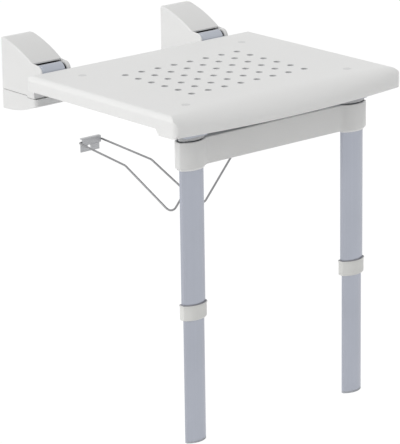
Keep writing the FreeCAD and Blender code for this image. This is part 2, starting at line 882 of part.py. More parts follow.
def build():
    os.makedirs("parts", exist_ok=True)
    save("seat_shell", seat_shell())
    save("seat_screws", seat_screws())
    save("screw_caps", screw_caps())
    save("crossbar_cover", crossbar_cover())
    save("crossbar_rail", crossbar_rail())
    save("link_wall_plate", link_wall_plate())
    save("link_rod", link_rod())
    save("link_guide_left", link_guide(-hole_pitch_x))
    save("link_guide_right", link_guide(0.0))
    for name, side in (("left", -1), ("right", 1)):
        save("upper_cover_" + name, upper_cover(side))
        save("lower_cover_" + name, lower_cover(side))
        save("wall_plate_" + name, wall_plate(side))
        save("hinge_pin_" + name, hinge_pin(side))
        save("hinge_bushes_" + name, hinge_bushes(side))
        save("seat_arm_" + name, seat_arm(side))
        save("leg_head_" + name, leg_head(side))
        save("leg_pin_" + name, leg_pin(side))
        save("upper_leg_" + name, upper_leg(side))
        save("leg_collar_" + name, leg_collar(side))
        save("lock_screw_" + name, lock_screw(side))
        save("lower_leg_" + name, lower_leg(side))
        save("leg_glide_" + name, leg_glide(side))
        save("foot_" + name, foot(side))


build()
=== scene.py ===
import math

import bmesh
import bpy
from mathutils import Matrix, Vector


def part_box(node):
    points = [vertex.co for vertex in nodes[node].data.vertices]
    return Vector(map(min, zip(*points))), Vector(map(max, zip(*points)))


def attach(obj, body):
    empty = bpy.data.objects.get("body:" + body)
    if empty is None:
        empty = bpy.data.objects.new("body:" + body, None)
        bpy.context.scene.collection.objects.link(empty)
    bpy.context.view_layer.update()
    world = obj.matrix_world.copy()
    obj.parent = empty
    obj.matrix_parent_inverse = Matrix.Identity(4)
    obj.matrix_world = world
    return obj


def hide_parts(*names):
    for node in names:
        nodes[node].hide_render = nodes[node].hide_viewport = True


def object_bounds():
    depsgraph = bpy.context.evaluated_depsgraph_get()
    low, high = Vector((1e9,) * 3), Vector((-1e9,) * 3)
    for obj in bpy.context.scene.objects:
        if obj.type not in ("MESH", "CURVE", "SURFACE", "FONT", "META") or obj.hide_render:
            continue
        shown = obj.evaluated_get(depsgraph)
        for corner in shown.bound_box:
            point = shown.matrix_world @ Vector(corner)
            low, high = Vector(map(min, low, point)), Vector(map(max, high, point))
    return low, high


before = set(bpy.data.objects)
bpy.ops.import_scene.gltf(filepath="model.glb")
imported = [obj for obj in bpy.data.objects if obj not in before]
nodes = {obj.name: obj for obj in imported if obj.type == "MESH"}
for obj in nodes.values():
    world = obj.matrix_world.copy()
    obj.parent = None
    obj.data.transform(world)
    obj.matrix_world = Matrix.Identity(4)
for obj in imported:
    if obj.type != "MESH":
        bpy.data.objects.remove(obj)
cad_box = [list(corner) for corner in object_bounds()]

# %% [markdown]
# ## A wall seat in white plastic and anodised aluminium
#
# The seat hangs on two wall brackets, folds up against the wall, and stands on two telescopic
# legs when it is down. The construction comes in as fixed bodies. This lesson gives each piece
# the finish that it has on the real object and adds the small things that a construction leaves
# out. Sizes are written in millimetres and turned to metres by one factor, because Blender
# counts in metres. Colours are written as sRGB hex values, as a colour picker shows them, and
# one function turns them to the linear values that a renderer needs.

# %% Sizes and colours

MM = 0.001


def srgb(hex_colour):
    """Linear colour from the six digits of an sRGB colour."""
    channels = [int(hex_colour[i:i + 2], 16) / 255 for i in (0, 2, 4)]
    linear = [c / 12.92 if c <= 0.04045 else ((c + 0.055) / 1.055) ** 2.4 for c in channels]
    return (*linear, 1.0)


print("construction box in mm:", [[round(c / MM, 1) for c in corner] for corner in cad_box])
print("half grey in linear light:", round(srgb("808080")[0], 3))

# %% [markdown]
# ## The camera
#
# The photograph was taken with a long lens from the front left, a little above the seat. A
# camera could be aimed with a constraint, but a measured view has a small roll too. So its
# right, up and backward directions are worked out from the angle round the seat, the angle
# above it and the roll, and become the columns of its matrix. A long lens keeps the two legs
# nearly parallel.

# %% Camera

AZIMUTH, ELEVATION, ROLL = (math.radians(a) for a in (-39.97, 16.86, -0.84))
CAMERA_PLACE = Vector((-2492.6, -3206.7, 963.1)) * MM
FRAME_WIDTH, FOCAL_PIXELS, SENSOR_MM = 400, 2779.2, 36.0
FARTHEST_SEEN = 50.0

back = Vector((math.sin(AZIMUTH) * math.cos(ELEVATION),
               -math.cos(AZIMUTH) * math.cos(ELEVATION),
               math.sin(ELEVATION)))
sideways = Vector((math.cos(AZIMUTH), math.sin(AZIMUTH), 0.0))
upright = back.cross(sideways)
right = math.cos(ROLL) * sideways + math.sin(ROLL) * upright
up = math.cos(ROLL) * upright - math.sin(ROLL) * sideways

camera_data = bpy.data.cameras.new("camera")
camera_data.sensor_fit = "HORIZONTAL"
camera_data.sensor_width = SENSOR_MM
camera_data.lens = FOCAL_PIXELS * SENSOR_MM / FRAME_WIDTH
camera_data.clip_end = FARTHEST_SEEN
camera = bpy.data.objects.new("camera", camera_data)
turn = Matrix((right, up, back)).transposed().to_4x4()
camera.matrix_world = Matrix.Translation(CAMERA_PLACE) @ turn
bpy.context.collection.objects.link(camera)
bpy.context.scene.camera = camera
print("lens in mm:", round(camera_data.lens, 1))

# %% [markdown]
# ## One way to build a material
#
# A material is a small graph. Its nodes could be made one by one with long lines of settings.
# Here one function adds a node, sets its values and joins its inputs, so every finish below
# reads as a list of what it is made of.

# %% Node helper


def add(tree, kind, values=None, links=None, **settings):
    """A node of a kind with its settings, its plain values and its links."""
    node = tree.nodes.new(kind)
    for key, value in settings.items():
        setattr(node, key, value)
    for key, value in (values or {}).items():
        node.inputs[key].default_value = value
    for key, source in (links or {}).items():
        tree.links.new(source, node.inputs[key])
    return node


def new_material(name):
    """An empty material with its output, and the object's own coordinates in metres."""
    material = bpy.data.materials.new(name)
    material.use_nodes = True
    tree = material.node_tree
    tree.nodes.clear()
    output = add(tree, "ShaderNodeOutputMaterial")
    place = add(tree, "ShaderNodeTexCoord").outputs["Object"]
    return material, tree, output, place


print("materials that came with the construction:", len(bpy.data.materials))

# %% [markdown]
# ## Moulded plastic
#
# The seat, the covers and the crossbar are injection moulded in a white plastic such as
# polypropylene. One flat colour would do from far away. The real mould is sparked to a fine
# satin grain, so highlights are broad and soft, and the colour drifts by a percent or so over a
# large moulding. Two noises give both. The grain of the real tool is about 0.1 mm. It is drawn
# at 0.9 mm, because a finer one can't show in the picture.

# %% Moulded plastic material

PLASTIC_IOR = 1.49
GRAIN_MM, GRAIN_DEPTH_MM = 0.9, 0.15
DRIFT_MM = 160.0
DRIFT_RANGE = (0.3, 0.7)
PLASTIC_GLOSS_SPREAD = (-0.05, 0.07)


def moulded_plastic(name, colour, shade, roughness=0.42, grain=0.06):
    """Satin moulded plastic, rubber or paint between two close colours."""
    material, tree, output, place = new_material(name)
    drift = add(tree, "ShaderNodeTexNoise", {"Scale": 1 / (DRIFT_MM * MM), "Detail": 2.0},
                {"Vector": place})
    soft = add(tree, "ShaderNodeMapRange",
               {"From Min": DRIFT_RANGE[0], "From Max": DRIFT_RANGE[1]},
               {"Value": drift.outputs["Fac"]})
    tone = add(tree, "ShaderNodeMix", {"A": srgb(shade), "B": srgb(colour)},
               {"Factor": soft.outputs["Result"]}, data_type="RGBA")
    speck = add(tree, "ShaderNodeTexNoise", {"Scale": 1 / (GRAIN_MM * MM), "Detail": 3.0},
                {"Vector": place})
    gloss = add(tree, "ShaderNodeMapRange", {"To Min": roughness + PLASTIC_GLOSS_SPREAD[0],
                                             "To Max": roughness + PLASTIC_GLOSS_SPREAD[1]},
                {"Value": speck.outputs["Fac"]})
    relief = add(tree, "ShaderNodeBump", {"Strength": grain, "Distance": GRAIN_DEPTH_MM * MM},
                 {"Height": speck.outputs["Fac"]})
    shader = add(tree, "ShaderNodeBsdfPrincipled", {"IOR": PLASTIC_IOR},
                 {"Base Color": tone.outputs["Result"], "Roughness": gloss.outputs["Result"],
                  "Normal": relief.outputs["Normal"]})
    tree.links.new(shader.outputs["BSDF"], output.inputs["Surface"])
    return material


# Polypropylene and ABS, moulded in a sparked tool: satin whites with wide, soft highlights.
seat_white = moulded_plastic("satin_white_polypropylene", "ECECEB", "EAEAE9")
cover_white = moulded_plastic("satin_white_abs", "E8E8E7", "E5E5E4", roughness=0.38)
crossbar_white = moulded_plastic("satin_grey_white_abs", "E3E3E2", "E0E0DF", roughness=0.4)
# The socket rims are the crossbar's plastic made whiter: painted highlight for the light on their
# rounded lower edge.
socket_rim_highlight_white = moulded_plastic("socket_rim_painted_highlight", "F2F2F1", "EFEFEE", roughness=0.4)
# Nylon and acetal, natural or tinted: duller, and the collars a little warmer than the seat.
collar_white = moulded_plastic("warm_white_nylon", "E4E4E1", "E1E1DE", roughness=0.5)
guide_grey = moulded_plastic("grey_acetal", "B9BBBC", "B2B4B5", roughness=0.4)
# The same black nylon makes the dark ring beside each hinge sleeve: painted shade for the
# recessed gap there.
dark_plastic_and_gap_shade = moulded_plastic("black_nylon_and_painted_gap_shade", "2C2D2F", "252628", roughness=0.5)
# Caps, moulded a shade darker than the seat, so that they show on it. The grey rims and
# linings of the drain holes are painted shade for each hole's shaded mouth and inside.
cap_grey = moulded_plastic("pale_grey_cap_plastic", "DDDDDD", "D9D9D9", roughness=0.45)
mouth_shade_grey = moulded_plastic("painted_shade_drain_mouth", "C6C7C8", "C1C2C3", roughness=0.5)
lining_shade_grey = moulded_plastic("painted_shade_drain_lining", "B8B9BA", "B2B3B4", roughness=0.5)
# Rubber, pressed in a matt tool: no highlight to speak of, and a coarser grain.
rubber_grey = moulded_plastic("pale_grey_rubber", "B9BCC2", "B3B6BC", roughness=0.7, grain=0.15)
# The seal's grey is darkened to paint the shadow line at the top of each collar.
seal_shade_grey = moulded_plastic("seal_rubber_painted_shade", "9A9AA0", "929298", roughness=0.65, grain=0.1)
pad_grey = moulded_plastic("grey_pad_rubber", "C4C5C6", "BFC0C1", roughness=0.6)
# Zinc castings under a coat of paint: the coat hides the metal and leaves an orange-peel grain.
head_coat = moulded_plastic("cast_grey_zinc_alloy", "A9ACB0", "9FA2A6", roughness=0.5, grain=0.2)
print("materials with the plastics:", len(bpy.data.materials))

# %% [markdown]
# ## Extruded aluminium
#
# The legs are drawn aluminium tube with a clear anodised coat. The die leaves fine lines along
# the tube, and the coat turns the metal pale, slightly blue and satin. An anisotropic shader
# could bend the highlight. The lines themselves also carry the tone here, so they are noise
# that is stretched along the tube, which reads as a soft grain and not as stripes. The real
# lines are finer than a tenth of a millimetre and are drawn wider, so that they can show.

# %% Anodised aluminium material

DIE_LINE_MM = 1.2
CLOUD_MM = 60.0
LINE_SHARE, CLOUD_SHARE = 0.5, 0.5
LINE_STRETCH = 0.004
LINE_DEPTH_MM, LINE_RELIEF = 0.1, 0.05
COAT_METALLIC = 0.75
COAT_GLOSS_SPREAD = (-0.06, 0.08)


def anodised(name, light, dark, stretch, roughness=0.36):
    """Anodised aluminium with die lines. stretch is the scale of the grain on X, Y and Z."""
    material, tree, output, place = new_material(name)
    grain = add(tree, "ShaderNodeMapping", {"Scale": stretch}, {"Vector": place})
    lines = add(tree, "ShaderNodeTexNoise", {"Scale": 1 / (DIE_LINE_MM * MM), "Detail": 4.0},
                {"Vector": grain.outputs["Vector"]})
    cloud = add(tree, "ShaderNodeTexNoise", {"Scale": 1 / (CLOUD_MM * MM), "Detail": 2.0},
                {"Vector": place})
    share = add(tree, "ShaderNodeMath", {1: LINE_SHARE}, {0: lines.outputs["Fac"]},
                operation="MULTIPLY")
    both = add(tree, "ShaderNodeMath", {1: CLOUD_SHARE},
               {0: cloud.outputs["Fac"], 2: share.outputs["Value"]}, operation="MULTIPLY_ADD")
    tone = add(tree, "ShaderNodeMix", {"A": srgb(dark), "B": srgb(light)},
               {"Factor": both.outputs["Value"]}, data_type="RGBA")
    gloss = add(tree, "ShaderNodeMapRange", {"To Min": roughness + COAT_GLOSS_SPREAD[0],
                                             "To Max": roughness + COAT_GLOSS_SPREAD[1]},
                {"Value": lines.outputs["Fac"]})
    relief = add(tree, "ShaderNodeBump", {"Strength": LINE_RELIEF,
                                          "Distance": LINE_DEPTH_MM * MM},
                 {"Height": lines.outputs["Fac"]})
    shader = add(tree, "ShaderNodeBsdfPrincipled", {"Metallic": COAT_METALLIC},
                 {"Base Color": tone.outputs["Result"], "Roughness": gloss.outputs["Result"],
                  "Normal": relief.outputs["Normal"]})
    tree.links.new(shader.outputs["BSDF"], output.inputs["Surface"])
    return material


ALONG_X = (LINE_STRETCH, 1.0, 1.0)
ALONG_Y = (1.0, LINE_STRETCH, 1.0)
ALONG_Z = (1.0, 1.0, LINE_STRETCH)
# Drawn tube under a clear coat: pale, cool and satin, with lines that run down the leg.
leg_aluminium = anodised("clear_anodised_leg_tube", "B9BDC8", "A8ACB6", ALONG_Z)
# The same coat on the extruded arms, whose lines run out from the wall.
arm_aluminium = anodised("clear_anodised_arm", "BFC3CB", "A9AEB8", ALONG_Y)
# Bare extrusion: greyer and rougher, because no coat evens it out.
rail_aluminium = anodised("mill_finish_rail", "BCBEC2", "A6A8AD", ALONG_X, roughness=0.42)
print("die line in mm:", DIE_LINE_MM, "stretched", round(1 / LINE_STRETCH), "times")

# %% [markdown]
# ## Steel
#
# The link is a drawn stainless rod and its plate is stamped from stainless sheet. Polished
# steel would mirror the studio. Both are drawn or brushed, never mirror bright, so a slightly
# dull metal with fine scratches is right for them. The scratches change tone and gloss together.

# %% Drawn and stamped steel

STEEL_GLOSS_SPREAD = (-0.08, 0.1)
SCRATCH_DETAIL, SCRATCH_ROUGHNESS = 5.0, 0.7


def steel(name, light, dark, scratch_mm, roughness):
    """Dull stainless steel with fine scratches."""
    material, tree, output, place = new_material(name)
    scratch = add(tree, "ShaderNodeTexNoise",
                  {"Scale": 1 / (scratch_mm * MM), "Detail": SCRATCH_DETAIL,
                   "Roughness": SCRATCH_ROUGHNESS}, {"Vector": place})
    tone = add(tree, "ShaderNodeMix", {"A": srgb(dark), "B": srgb(light)},
               {"Factor": scratch.outputs["Fac"]}, data_type="RGBA")
    gloss = add(tree, "ShaderNodeMapRange", {"To Min": roughness + STEEL_GLOSS_SPREAD[0],
                                             "To Max": roughness + STEEL_GLOSS_SPREAD[1]},
                {"Value": scratch.outputs["Fac"]})
    shader = add(tree, "ShaderNodeBsdfPrincipled", {"Metallic": 1.0},
                 {"Base Color": tone.outputs["Result"], "Roughness": gloss.outputs["Result"]})
    tree.links.new(shader.outputs["BSDF"], output.inputs["Surface"])
    return material


# Drawn rod: a middle grey with fine scratches.
rod_steel = steel("drawn_stainless_rod", "9C9C9E", "868688", scratch_mm=2.0, roughness=0.38)
# Stamped sheet: paler, with the broad gloss of a rolled face.
plate_steel = steel("stamped_stainless_sheet", "C4C5C7", "B2B3B5", scratch_mm=3.0, roughness=0.42)
# Zinc plate on the hidden brackets: pale and slightly blue, in wide soft patches.
bracket_steel = steel("zinc_plated_steel", "B9BBBE", "A4A6AA", scratch_mm=5.0, roughness=0.4)
# Ground pins and screws: the brightest and smoothest steel here.
pin_steel = steel("ground_steel_pin", "B0B1B3", "98999B", scratch_mm=1.0, roughness=0.28)
print("materials in all:", len(bpy.data.materials))

# %% [markdown]
# ## Dressing the construction
#
# A finish could be given to each construction piece by hand. A table by the piece's plain name
# is shorter, and it shows at a glance which pieces share a material. The pieces keep their
# shapes. Only the crossbar's cover and rail, dressed here as well, are drawn anew further down.

# %% Finish of every construction piece

FINISHES = {
    "seat_shell": seat_white, "screw_caps": cap_grey, "seat_screws": pin_steel,
    "upper_cover": cover_white, "lower_cover": cover_white, "crossbar_cover": crossbar_white,
    "crossbar_rail": rail_aluminium, "wall_plate": bracket_steel, "hinge_pin": pin_steel,
    "hinge_bushes": dark_plastic_and_gap_shade, "seat_arm": arm_aluminium, "leg_head": head_coat,
    "leg_pin": pin_steel, "upper_leg": leg_aluminium, "leg_collar": collar_white,
    "lock_screw": pin_steel, "lower_leg": leg_aluminium, "leg_glide": dark_plastic_and_gap_shade,
    "foot": rubber_grey, "link_rod": rod_steel, "link_wall_plate": plate_steel,
    "link_guide": guide_grey,
}


def finish_of(node):
    """Finish of a piece, by its name without its side."""
    return FINISHES[node.removesuffix("_left").removesuffix("_right")]


for name, piece in nodes.items():
    piece.data.materials.clear()
    piece.data.materials.append(finish_of(name))
print("pieces dressed:", len(nodes))

# %% [markdown]
# ## Walls that follow an outline
#
# The crossbar, the rims of its leg sockets and the seals of the collars all have the plan of a
# leg: a flat back, short sides and a crowned front. A curve with a bevel could carry a section
# round that plan, but its corners would bulge. A skin that runs through rings of points is
# plainer, because each ring is the same outline, moved in or out and set at its own height.
# Plans are in millimetres along the wall and out from it, and heights are drops below the seat
# top.

# %% Rings and skins

SEAT_TOP = 19.0
SOFT_EDGE_DEGREES = 28


def at(x, out, drop):
    """Point of the model from its place along the wall, out of it and below the seat top."""
    return Vector((x, -out, SEAT_TOP - drop)) * MM


def arc(centre, radius, start, finish, steps):
    """Plan points on an arc, with its angles in degrees from the +x direction."""
    angles = [math.radians(start + (finish - start) * k / steps) for k in range(steps + 1)]
    return [Vector((centre[0] + radius * math.cos(a), centre[1] + radius * math.sin(a)))
            for a in angles]


def outset(outline, distance):
    """The plan outline moved outwards by a distance, with mitred corners."""
    moved = []
    for k, here in enumerate(outline):
        before = (here - outline[k - 1]).normalized()
        after = (outline[(k + 1) % len(outline)] - here).normalized()
        side = Vector((before.y, -before.x))
        mitre = (side + Vector((after.y, -after.x))).normalized()
        moved.append(here + mitre * distance / mitre.dot(side))
    return moved


def level(outline, drop):
    """A plan outline set at its height, as points of the model."""
    return [at(point.x, point.y, drop) for point in outline]


def skin(name, rings, material, body, closed):
    """Piece whose skin joins ring to ring, and then closes on itself or gets two end faces."""
    bm = bmesh.new()
    loops = [[bm.verts.new(point) for point in ring] for ring in rings]
    for low, high in zip(loops, loops[1:] + ([loops[0]] if closed else [])):
        for k in range(len(low)):
            bm.faces.new((low[k - 1], low[k], high[k], high[k - 1]))
    if not closed:
        bm.faces.new(loops[0])
        bm.faces.new(loops[-1])
    bmesh.ops.recalc_face_normals(bm, faces=bm.faces)
    mesh = bpy.data.meshes.new(name)
    bm.to_mesh(mesh)
    bm.free()
    mesh.materials.append(material)
    piece = bpy.data.objects.new(name, mesh)
    bpy.context.collection.objects.link(piece)
    if body:
        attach(piece, body)
    return piece


def soften(piece):
    """Smooth shading that breaks only at the sharper edges."""
    piece.data.polygons.foreach_set("use_smooth", [True] * len(piece.data.polygons))
    piece.data.set_sharp_from_angle(angle=math.radians(SOFT_EDGE_DEGREES))


print("seat top above the origin in mm:", SEAT_TOP)

# %% [markdown]
# ## The crossbar
#
# The crossbar is a moulded trough with an open top. Between the legs it is a straight beam, and
# at each leg it swells into a socket with the leg's own crowned front. The construction has a
# plainer trough in its place. A box with rounded corners could be pulled into shape, but the
# swelling needs one true outline. So the plan is made once for the right half and mirrored, and
# its rings give it a wall, a floor and rounded edges. The back wall has a window at each leg for
# the nose that the leg turns on, cut with a boolean.

# %% Plan of the crossbar

LEG_X = 150.0
LEG_BACK = 392.2
BAR_FRONT, BAR_BACK = 400.0, 377.5
BAR_CORNER, CORNER_STEPS = 19.0, 8
CROWN_CENTRE = (150.3, 372.7)
CROWN_RADIUS, CROWN_STEPS = 36.2, 14
CROWN_START = 53.5
SOCKET_REACH = 24.3
SHOULDER_OUT, SHOULDER_RADIUS, SHOULDER_STEPS = 397.4, 4.5, 5
THROAT_RADIUS, THROAT_STEPS = 12.0, 5

end_x = CROWN_CENTRE[0] + SOCKET_REACH
throat_out = BAR_FRONT + THROAT_RADIUS
throat_rise = math.asin((throat_out - CROWN_CENTRE[1]) / (CROWN_RADIUS + THROAT_RADIUS))
throat_x = CROWN_CENTRE[0] - (CROWN_RADIUS + THROAT_RADIUS) * math.cos(throat_rise)
crown_end = 180 - math.degrees(throat_rise)

corner = arc((end_x - BAR_CORNER, BAR_BACK + BAR_CORNER), BAR_CORNER, -90, 0, CORNER_STEPS)
shoulder = arc((end_x - SHOULDER_RADIUS, SHOULDER_OUT), SHOULDER_RADIUS, 0, CROWN_START,
               SHOULDER_STEPS)
crown = arc(CROWN_CENTRE, CROWN_RADIUS, CROWN_START, crown_end, CROWN_STEPS)
throat = arc((throat_x, throat_out), THROAT_RADIUS, crown_end - 180, -90, THROAT_STEPS)
half_plan = corner + shoulder + crown + throat[1:]
plan = half_plan + [Vector((-point.x, point.y)) for point in reversed(half_plan)]
print("crossbar length in mm:", round(2 * end_x, 1), "points in its plan:", len(plan))

# %% [markdown]
# ## From plan to trough
#
# A mould leaves a small radius on every outer edge. A bevel modifier would also round the inner
# wall, so the radius is put in as rings here: each is a little further in and a little higher.
# The last two rings are the inside of the wall.

# %% Crossbar trough

BAR_TOP, BAR_BOTTOM = 47.5, 85.5
BAR_WALL, BAR_EDGE, EDGE_STEPS = 2.5, 1.0, 4
WINDOW_HALF, WINDOW_FRONT, WINDOW_LOW = 8.6, 388.5, 61.8
OVERCUT = 2

edge = [(BAR_EDGE * (1 - math.sin(a)), BAR_EDGE * (1 - math.cos(a)))
        for a in (math.radians(90 * k / EDGE_STEPS) for k in range(EDGE_STEPS + 1))]
rings = [level(outset(plan, -inset), BAR_BOTTOM - rise) for inset, rise in edge]
rings += [level(outset(plan, -inset), BAR_TOP + rise) for inset, rise in reversed(edge)]
rings += [level(outset(plan, -BAR_WALL), drop) for drop in (BAR_TOP, BAR_BOTTOM - BAR_WALL)]
block = skin("crossbar_block", rings, crossbar_white, None, closed=False)

for side in (-1, 1):
    low, high = side * LEG_X - WINDOW_HALF, side * LEG_X + WINDOW_HALF
    opening = [Vector(p) for p in ((low, BAR_BACK - OVERCUT), (high, BAR_BACK - OVERCUT),
                                   (high, WINDOW_FRONT), (low, WINDOW_FRONT))]
    cutter = skin("window_cutter",
                  [level(opening, BAR_TOP - OVERCUT), level(opening, WINDOW_LOW)],
                  crossbar_white, None, closed=False)
    cut = block.modifiers.new("window", "BOOLEAN")
    cut.operation, cut.solver, cut.object = "DIFFERENCE", "EXACT", cutter
graph = bpy.context.evaluated_depsgraph_get()
mesh = bpy.data.meshes.new_from_object(block.evaluated_get(graph), depsgraph=graph)
for cut in list(block.modifiers):
    bpy.data.objects.remove(cut.object)
bpy.data.objects.remove(block)
crossbar = bpy.data.objects.new("crossbar_trough", mesh)
bpy.context.collection.objects.link(crossbar)
soften(crossbar)
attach(crossbar, "legs")
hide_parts("crossbar_cover")
print("crossbar faces:", len(mesh.polygons), "materials:", len(mesh.materials))

# %% [markdown]
# ## The rail in the crossbar
#
# An aluminium box section inside the trough ties the two leg heads together. Two cubes and a
# boolean would make it. It shows only from behind and from above, so it is two rings at each
# end, one for its outside and one for its inside, and the skin closes on itself.

# %% Rail

RAIL_HALF, RAIL_BACK, RAIL_FRONT = 138.0, 381.0, 397.0
RAIL_TOP, RAIL_BOTTOM, RAIL_WALL = 48.8, 60.8, 2.0


def rail_ring(x, inset):
    """Section of the rail at a place along the wall."""
    back_face, front_face = RAIL_BACK + inset, RAIL_FRONT - inset
    top, bottom = RAIL_TOP + inset, RAIL_BOTTOM - inset
    return [at(x, back_face, top), at(x, front_face, top), at(x, front_face, bottom),
            at(x, back_face, bottom)]


outside = [rail_ring(x, 0) for x in (-RAIL_HALF, RAIL_HALF)]
inside = [rail_ring(x, RAIL_WALL) for x in (RAIL_HALF, -RAIL_HALF)]
rail = skin("crossbar_tie", outside + inside, rail_aluminium, "legs", closed=True)
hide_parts("crossbar_rail")
print("rail length in mm:", 2 * RAIL_HALF)

# %% [markdown]
# ## Socket rims and collar seals
#
# A rim shows under the crossbar where each leg comes out of its socket, in a plastic whiter
# than the crossbar. That is painted highlight for the light on its rounded lower edge. A rubber
# seal lies on each collar, in a grey dark enough to paint the shadow line at the collar's top. A
# torus wouldn't hug the leg, so their rings are the leg's section, moved out. A small pad hangs
# from each seat arm and fills the gap above the socket. It stays in front of the pivot, where
# the crossbar doesn't reach when it folds.

# %% Rims and seals

LEG_HALF, LEG_FRONT = 19.25, 405.7
LEG_CROWN_RADIUS, LEG_CROWN_STEPS = 28.45, 12
LEG_CROWN_OUT = LEG_FRONT - LEG_CROWN_RADIUS
LEG_CROWN_START = math.degrees(math.acos(LEG_HALF / LEG_CROWN_RADIUS))
PLAY = 0.1
RIM_WALL, RIM_TOP, RIM_BOTTOM, RIM_BEVEL = 2.0, BAR_BOTTOM - 1.0, BAR_BOTTOM + 2.8, 0.8
SEAL_WALL, SEAL_TOP, SEAL_BOTTOM, SEAL_BEVEL = 1.9, 280.8, 282.0, 0.3


def leg_section(x):
    """Plan of a leg."""
    front_arc = arc((x, LEG_CROWN_OUT), LEG_CROWN_RADIUS, LEG_CROWN_START,
                    180 - LEG_CROWN_START, LEG_CROWN_STEPS)
    return [Vector((x - LEG_HALF, LEG_BACK)), Vector((x + LEG_HALF, LEG_BACK))] + front_arc


def band(name, x, wall, top, bottom, bevel, material):
    """Ring round a leg between two drops, with a bevelled outside."""
    section = leg_section(x)
    rings = [level(outset(section, distance), drop) for distance, drop in (
        (PLAY, top), (wall - bevel, top), (wall, top + bevel), (wall, bottom - bevel),
        (wall - bevel, bottom), (PLAY, bottom))]
    soften(skin(name, rings, material, "legs", closed=True))


PAD_HALF, PAD_BACK = 22.2, 395.0
PAD_CENTRE_OUT, PAD_RADIUS, PAD_STEPS = 375.5, 31.9, 14
PAD_START = 46.5
PAD_TOP, PAD_EDGE, PAD_BOTTOM, PAD_BEVEL = 40.0, 45.2, 45.8, 0.5


def lip_pad(name, x):
    """Pad under a seat arm with a crowned front and a bevelled lower edge."""
    front_arc = arc((x, PAD_CENTRE_OUT), PAD_RADIUS, PAD_START, 180 - PAD_START, PAD_STEPS)
    pad_plan = [Vector((x - PAD_HALF, PAD_BACK)), Vector((x + PAD_HALF, PAD_BACK))] + front_arc
    rings = [level(pad_plan, PAD_TOP), level(pad_plan, PAD_EDGE),
             level(outset(pad_plan, -PAD_BEVEL), PAD_BOTTOM)]
    soften(skin(name, rings, pad_grey, "seat", closed=False))


SIDES = (("left", -LEG_X), ("right", LEG_X))
for side, x in SIDES:
    # Rims in a whiter plastic: painted highlight on their rounded edge.
    band("socket_rim_" + side, x, RIM_WALL, RIM_TOP, RIM_BOTTOM, RIM_BEVEL, socket_rim_highlight_white)
    # Seals in a dark grey that paints the shadow line at the collar's top.
    band("collar_seal_" + side, x, SEAL_WALL, SEAL_TOP, SEAL_BOTTOM, SEAL_BEVEL, seal_shade_grey)
    lip_pad("lip_pad_" + side, x)
print("rims, seals and pads:", 3 * len(SIDES))

# %% [markdown]
# ## Hinge sleeves and knuckles
#
# Between the cheeks of each wall cover an aluminium sleeve covers the hinge barrel. It turns
# with the seat and almost fills the slot under the cover's crown. At its right a dark ring fills
# the recess beside it as painted shade, a white knuckle stands beyond, and a fixed aluminium
# ring end stands at its left. Cylinders would close over the barrel, so sleeve and shade ring
# are full rings round the hinge axis, made with the skin.
# Knuckle and ring end belong to the wall side, so they are only sectors at the front, clear of
# the steel lugs behind them.

# %% Hinge sleeves

HINGE_OUT, HINGE_DROP = 84.0, 6.0
BORE_RADIUS, SLEEVE_RADIUS, GAP_SHADE_RADIUS, KNUCKLE_RADIUS = 8.55, 11.0, 9.0, 11.3
SLEEVE_LEFT, SLEEVE_RIGHT, GAP_SHADE_RIGHT, KNUCKLE_LEFT, SLOT_HALF = -22.1, 16.6, 20.2, 20.4, 24.95
END_RING_WIDTH = 2.6
RING_BEVEL, RING_STEPS = 0.5, 48
SECTOR_BORE = BORE_RADIUS + 0.2
SECTOR_LOW, SECTOR_HIGH, SECTOR_STEPS = -60, 95, 24


def turned(x, radius, start, finish, steps):
    """Points round the hinge axis at one place along the wall, with angles up from the front."""
    angles = [math.radians(start + (finish - start) * k / steps) for k in range(steps + 1)]
    return [at(x, HINGE_OUT + radius * math.cos(a), HINGE_DROP - radius * math.sin(a))
            for a in angles]


def hinge_ring(name, left, right, radius, material):
    """Full ring on the hinge barrel, with bevelled ends."""
    last = 360 - 360 / RING_STEPS
    shape = ((left, BORE_RADIUS), (left, radius - RING_BEVEL), (left + RING_BEVEL, radius),
             (right - RING_BEVEL, radius), (right, radius - RING_BEVEL), (right, BORE_RADIUS))
    rings = [turned(x, r, 0, last, RING_STEPS - 1) for x, r in shape]
    soften(skin(name, rings, material, "seat", closed=True))


def knuckle(name, left, right, radius, material):
    """Front sector of a ring between two places along the wall."""
    rings = [turned(x, radius, SECTOR_LOW, SECTOR_HIGH, SECTOR_STEPS)
             + turned(x, SECTOR_BORE, SECTOR_HIGH, SECTOR_LOW, SECTOR_STEPS)
             for x in (left, right)]
    soften(skin(name, rings, material, "wall", closed=False))


for side, x in SIDES:
    hinge_ring("hinge_sleeve_" + side, x + SLEEVE_LEFT, x + SLEEVE_RIGHT, SLEEVE_RADIUS,
               arm_aluminium)
    # A dark ring in the recess beside the sleeve: painted shade for the gap that its neighbours
    # shade.
    hinge_ring("hinge_gap_shade_" + side, x + SLEEVE_RIGHT, x + GAP_SHADE_RIGHT, GAP_SHADE_RADIUS,
               dark_plastic_and_gap_shade)
    knuckle("hinge_knuckle_" + side, x + KNUCKLE_LEFT, x + SLOT_HALF, KNUCKLE_RADIUS,
            cover_white)
    knuckle("hinge_end_ring_" + side, x - SLOT_HALF, x - SLOT_HALF + END_RING_WIDTH,
            SLEEVE_RADIUS, arm_aluminium)
print("hinge pieces:", 4 * len(SIDES))

# %% [markdown]
# ## Repeated pieces with geometry nodes
#
# The grey rings of painted shade in the drain holes come again and again. A loop could copy
# them, but a node tree that takes its points from a grid and puts one small part on each of them
# says how they repeat, and its inputs keep names. The tree is evaluated once for each set of
# values, made a plain mesh and then let go.

# %% Geometry node helpers


